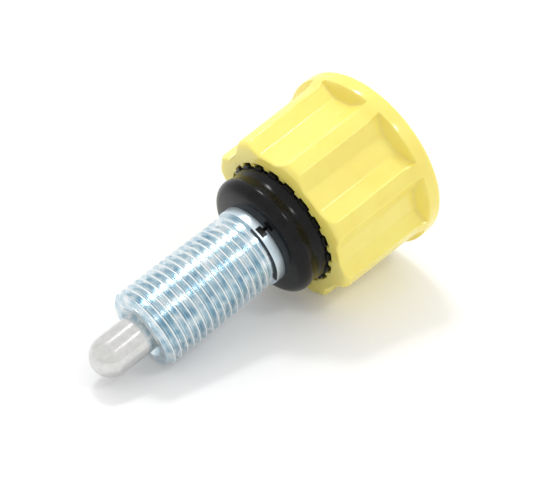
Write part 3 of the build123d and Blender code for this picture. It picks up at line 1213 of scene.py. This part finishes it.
@dataclass(frozen=True)
class Metal:
    """A metal finish: mottled colour and gloss under turning lines."""

    name: str
    colors: tuple[tuple[float, float, float], ...]
    roughness: tuple[float, float]
    mottle_scale: float = 500.0
    line_scale: float = 9.0
    line_depth: float = 0.002
    pit_depth: float = 0.0
    pit_ratio: float = 6.0
    metallic: float = 1.0

    def build(self, effects: Effects) -> bpy.types.Material:
        """Makes the material.

        Args:
            effects: The shared node groups.

        Returns:
            The material.
        """
        graph = ShaderGraph(self.name)
        graph.set_shader(Metallic=self.metallic)
        graph.cloud(effects, self, detail=4.0, gloss_ratio=3.0)
        lines = graph.bump(graph.group(effects.turning, Scale=self.line_scale), self.line_depth)
        if self.pit_depth:
            pits = graph.group(effects.mottle, Scale=self.pit_ratio * self.mottle_scale, Detail=3.0)
            graph.bump(pits, self.pit_depth, lines)
        return graph.material


@dataclass(frozen=True)
class Plastic:
    """A moulded plastic finish: slight mottle, moulded grain and, if pale, some depth."""

    name: str
    colors: tuple[tuple[float, float, float], ...]
    roughness: tuple[float, float]
    specular: float = 0.5
    mottle_scale: float = 300.0
    grain_scale: float = 3000.0
    grain_depth: float = 0.004
    depth_share: float = 0.0
    depth: float = 1.5
    depth_tint: tuple[float, float, float] = (1.0, 0.8, 0.25)

    def build(self, effects: Effects) -> bpy.types.Material:
        """Makes the material.

        Args:
            effects: The shared node groups.

        Returns:
            The material.
        """
        graph = ShaderGraph(self.name)
        graph.set_shader(Specular_IOR_Level=self.specular)
        if self.depth_share:
            graph.set_shader(Subsurface_Weight=self.depth_share, Subsurface_Scale=self.depth * MM)
            graph.set_shader(Subsurface_Radius=self.depth_tint)
        graph.cloud(effects, self, detail=3.0, gloss_ratio=4.0)
        graph.bump(graph.group(effects.mottle, Scale=self.grain_scale, Detail=2.0), self.grain_depth)
        return graph.material


class FinishShelf:
    """The finishes' materials, each made when it is first taken."""

    def __init__(self, effects: Effects) -> None:
        """Starts with no material made.

        Args:
            effects: The shared node groups.
        """
        self.effects = effects
        self.made: dict[str, bpy.types.Material] = {}

    def take(self, finish: Metal | Plastic) -> bpy.types.Material:
        """Hands out a finish's material.

        Args:
            finish: The finish.

        Returns:
            Its one material.
        """
        if finish.name not in self.made:
            self.made[finish.name] = finish.build(self.effects)
        return self.made[finish.name]


def shown_rays(tree: bpy.types.NodeTree) -> bpy.types.NodeSocket:
    """One for the rays that show the background: the camera's, glossy and transmitted ones.

    Args:
        tree: Node tree that gets the nodes.

    Returns:
        The share's socket: the sum of the three kinds, held at one.
    """
    rays = tree.nodes.new("ShaderNodeLightPath")
    share = rays.outputs["Is Camera Ray"]
    for kind in ("Is Glossy Ray", "Is Transmission Ray"):
        total = tree.nodes.new("ShaderNodeMath")
        total.operation = "ADD"
        total.use_clamp = True
        tree.links.new(share, total.inputs[0])
        tree.links.new(rays.outputs[kind], total.inputs[1])
        share = total.outputs["Value"]
    return share


@dataclass(frozen=True)
class WhiteFloor:
    """Matt white floor, a little brighter round the part and plain white far away.

    The added white shows only to the camera and in reflections.  Lengths are
    metres from the scene's centre.
    """

    color: tuple[float, float, float] = (0.93, 0.93, 0.932)
    lift: float = 0.13
    shadow_radius: float = 0.10
    white_radius: float = 0.30

    def build(self) -> bpy.types.Material:
        """Makes the material.

        Returns:
            The material.
        """
        graph = ShaderGraph("floor_white")
        graph.set_shader(Base_Color=(*self.color, 1.0), Roughness=0.9, Specular_IOR_Level=0.1)
        place = graph.nodes.new("ShaderNodeNewGeometry")
        reach = graph.nodes.new("ShaderNodeVectorMath")
        reach.operation = "LENGTH"
        fade = graph.nodes.new("ShaderNodeMapRange")
        fade.inputs["From Min"].default_value = self.shadow_radius
        fade.inputs["From Max"].default_value = self.white_radius
        fade.inputs["To Min"].default_value = self.lift
        share = graph.nodes.new("ShaderNodeMath")
        share.operation = "MULTIPLY"
        glow = graph.nodes.new("ShaderNodeEmission")
        mixed = graph.nodes.new("ShaderNodeMixShader")
        graph.links.new(place.outputs["Position"], reach.inputs[0])
        graph.links.new(reach.outputs["Value"], fade.inputs["Value"])
        graph.links.new(shown_rays(graph.material.node_tree), share.inputs[0])
        graph.links.new(fade.outputs["Result"], share.inputs[1])
        graph.links.new(share.outputs["Value"], mixed.inputs["Fac"])
        graph.links.new(graph.shader.outputs["BSDF"], mixed.inputs[1])
        graph.links.new(glow.outputs["Emission"], mixed.inputs[2])
        graph.links.new(mixed.outputs["Shader"], graph.nodes["Material Output"].inputs["Surface"])
        return graph.material


ZINC = Metal(
    "zinc_plated",
    colors=((0.37, 0.52, 0.61), (0.56, 0.68, 0.74), (0.76, 0.81, 0.83)),
    roughness=(0.15, 0.28),
    mottle_scale=420.0,
    pit_depth=0.004,
)
# Rougher zinc with less metal and a paler colour, a painted reflection that keeps the collar bright beside
# the black hub.
COLLAR_SHEEN_ZINC = Metal(
    "zinc_collar_sheen",
    colors=((0.58, 0.70, 0.77), (0.72, 0.81, 0.86)),
    roughness=(0.26, 0.36),
    mottle_scale=420.0,
    line_depth=0.001,
    metallic=0.8,
)
# Painted highlight: paler, beige, less metallic copy of the zinc for the thread's bright crest lines.
CREST_HIGHLIGHT_ZINC = Metal(
    "zinc_crest_highlight",
    colors=((0.76, 0.80, 0.79), (0.85, 0.87, 0.86)),
    roughness=(0.34, 0.44),
    mottle_scale=420.0,
    line_depth=0.001,
    metallic=0.6,
)
# Painted shade: near-black copy of the zinc for the shadowed strip of the relief groove.
PAINTED_SHADE_ZINC = Metal(
    "zinc_painted_shade",
    colors=((0.03, 0.035, 0.04), (0.10, 0.11, 0.12)),
    roughness=(0.40, 0.50),
    mottle_scale=900.0,
    line_depth=0.001,
    metallic=0.7,
)
POLISHED = Metal(
    "steel_polished",
    colors=((0.62, 0.62, 0.605), (0.69, 0.685, 0.67)),
    roughness=(0.10, 0.18),
    mottle_scale=900.0,
    line_scale=16.0,
    pit_depth=0.002,
)
WIRE = Metal("steel_wire", ((0.42, 0.42, 0.43), (0.50, 0.50, 0.51)), (0.24, 0.36))
WASHER = Metal("steel_washer", ((0.61, 0.61, 0.62), (0.72, 0.72, 0.73)), (0.24, 0.36))
SCREW = Metal("steel_black", ((0.10, 0.10, 0.105), (0.12, 0.12, 0.125)), (0.29, 0.41))
BRASS = Metal("brass_turned", ((0.61, 0.47, 0.24), (0.72, 0.55, 0.28)), (0.24, 0.36))
NYLON = Plastic(
    "nylon_black",
    colors=((0.003, 0.003, 0.0034), (0.007, 0.007, 0.0075)),
    roughness=(0.14, 0.24),
    specular=0.18,
    mottle_scale=500.0,
    grain_scale=5200.0,
    grain_depth=0.003,
)
YELLOW = Plastic(
    "plastic_yellow",
    colors=((0.965, 0.797, 0.18), (0.99, 0.84, 0.21)),
    roughness=(0.11, 0.18),
    mottle_scale=160.0,
    grain_depth=0.002,
    depth_share=0.35,
)


@dataclass(frozen=True)
class SoftBox:
    """One area light, placed by its direction in degrees and distance in metres."""

    name: str
    azimuth: float
    elevation: float
    distance: float
    width: float
    height: float
    watts: float

    def build(self, target: Vector) -> bpy.types.Object:
        """Makes the light, facing the target.

        Args:
            target: Point that the light faces.

        Returns:
            The light object.
        """
        data = bpy.data.lights.new(self.name, "AREA")
        data.shape = "RECTANGLE"
        data.size, data.size_y = self.width, self.height
        data.energy = self.watts
        azimuth, elevation = math.radians(self.azimuth), math.radians(self.elevation)
        level = math.cos(elevation)
        direction = Vector((level * math.cos(azimuth), level * math.sin(azimuth), math.sin(elevation)))
        light = bpy.data.objects.new(self.name, data)
        light.location = target + direction * self.distance
        light.rotation_euler = direction.to_track_quat("Z", "Y").to_euler()
        bpy.context.scene.collection.objects.link(light)
        return light


@dataclass(frozen=True)
class SkyPatch:
    """A brighter place in the surroundings, full inside one angle and gone past the other."""

    direction: tuple[float, float, float]
    inner_angle: float
    outer_angle: float
    level: float


@dataclass(frozen=True)
class Studio:
    """Camera, lights, floor and surroundings, in metres and degrees."""

    camera_location: tuple[float, float, float] = (-0.116610, -0.136643, 0.139674)
    camera_rotation: tuple[float, float, float] = (55.022, -0.076, -41.498)
    lens: float = 78.95
    sensor_width: float = 36.0
    lamp_target: tuple[float, float, float] = (0.0, 0.0, 0.015)
    floor_reach: float = 2.0
    soft_boxes: tuple[SoftBox, ...] = (
        SoftBox("back_box", 66.8, 67.5, 0.7, 0.15, 0.09, 1.15),
        SoftBox("front_box", -72.1, 53.7, 0.7, 0.13, 0.08, 0.6),
    )
    sky_patches: tuple[SkyPatch, ...] = (
        SkyPatch((0.15, 0.10, 0.97), 32.0, 68.0, 2.0),
        SkyPatch((-0.05, 0.98, 0.15), 22.0, 60.0, 1.6),
    )
    surroundings: float = 0.55

    def build_camera(self) -> None:
        """Adds the camera, which looks down on the plunger from ahead of its pin."""
        data = bpy.data.cameras.new("camera")
        data.lens = self.lens
        data.sensor_width = self.sensor_width
        data.clip_start, data.clip_end = 0.01, 20.0
        camera = bpy.data.objects.new("camera", data)
        camera.location = self.camera_location
        camera.rotation_euler = Euler([math.radians(part) for part in self.camera_rotation])
        bpy.context.scene.collection.objects.link(camera)
        bpy.context.scene.camera = camera

    def build_floor(self) -> None:
        """Adds the white floor."""
        surface = SurfaceMesh("floor")
        side = np.array([-self.floor_reach, self.floor_reach])
        x, y = np.meshgrid(side, side)
        surface.add_grid(np.stack([x, y, np.zeros_like(x)], axis=-1), close_columns=False)
        floor = surface.finish()
        floor.data.materials.append(WhiteFloor().build())

    def build_world(self) -> None:
        """Adds pale surroundings: each patch multiplies their level, and they show as white."""
        world = bpy.data.worlds.new("surroundings")
        world.use_nodes = True
        nodes, links = world.node_tree.nodes, world.node_tree.links
        place = nodes.new("ShaderNodeTexCoord")
        level = nodes.new("ShaderNodeValue").outputs["Value"]
        level.default_value = self.surroundings
        for patch in self.sky_patches:
            product = nodes.new("ShaderNodeVectorMath")
            product.operation = "DOT_PRODUCT"
            product.inputs[1].default_value = Vector(patch.direction).normalized()
            fade = nodes.new("ShaderNodeMapRange")
            fade.interpolation_type = "SMOOTHSTEP"
            fade.inputs["From Min"].default_value = math.cos(math.radians(patch.outer_angle))
            fade.inputs["From Max"].default_value = math.cos(math.radians(patch.inner_angle))
            fade.inputs["To Min"].default_value = 1.0
            fade.inputs["To Max"].default_value = patch.level
            both = nodes.new("ShaderNodeMath")
            both.operation = "MULTIPLY"
            links.new(place.outputs["Generated"], product.inputs[0])
            links.new(product.outputs["Value"], fade.inputs["Value"])
            links.new(level, both.inputs[0])
            links.new(fade.outputs["Result"], both.inputs[1])
            level = both.outputs["Value"]
        shown = nodes.new("ShaderNodeMix")
        shown.inputs["B"].default_value = 1.0
        background = nodes["Background"]
        background.inputs["Color"].default_value = (1.0, 1.0, 1.0, 1.0)
        links.new(shown_rays(world.node_tree), shown.inputs["Factor"])
        links.new(level, shown.inputs["A"])
        links.new(shown.outputs["Result"], background.inputs["Strength"])
        bpy.context.scene.world = world

    def build(self) -> None:
        """Builds the whole studio."""
        self.build_camera()
        self.build_floor()
        self.build_world()
        for box in self.soft_boxes:
            box.build(Vector(self.lamp_target))
        bpy.context.scene.view_settings.view_transform = "Standard"
        LOG.info("studio: camera, floor, surroundings, %d lamps", len(self.soft_boxes))


@dataclass(frozen=True)
class IndexingPlunger:
    """The whole plunger and its sub-assemblies; the key takes its sizes from the barrel."""

    barrel: Barrel = Barrel()
    hub: Hub = Hub()
    pin: PlungerPin = PlungerPin()
    knob: Knob = Knob()
    cap: EndCap = EndCap()
    spring: Spring = Spring()

    def build(self, axis: PlungerAxis, shelf: FinishShelf) -> None:
        """Builds and dresses every new piece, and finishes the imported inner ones.

        Args:
            axis: The plunger's axis.
            shelf: The finishes.
        """
        key = CollarKey(self.barrel)
        parts: list[Part] = [self.barrel, self.hub, key, self.pin, self.knob, self.cap, self.spring]
        for part in parts:
            part.dress(part.build(axis), axis, shelf)
        inner = {"guide_bush": BRASS, "flat_washer": WASHER, "spring_washer": WIRE, "clamp_screw": SCREW}
        for node, finish in inner.items():
            piece = frame["nodes"][node]
            piece.data.materials.clear()
            piece.data.materials.append(shelf.take(finish))
            LOG.info("%s: packed surface, finish %s", node, finish.name)


def main() -> None:
    """Builds the plunger and its studio."""
    logging.basicConfig(level=logging.INFO)
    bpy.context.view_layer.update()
    plunger = IndexingPlunger()
    axis = PlungerAxis.from_frame(frame, plunger.barrel.thread_middle)
    plunger.build(axis, FinishShelf(Effects(axis)))
    Studio().build()


if __name__ == "__main__":
    main()
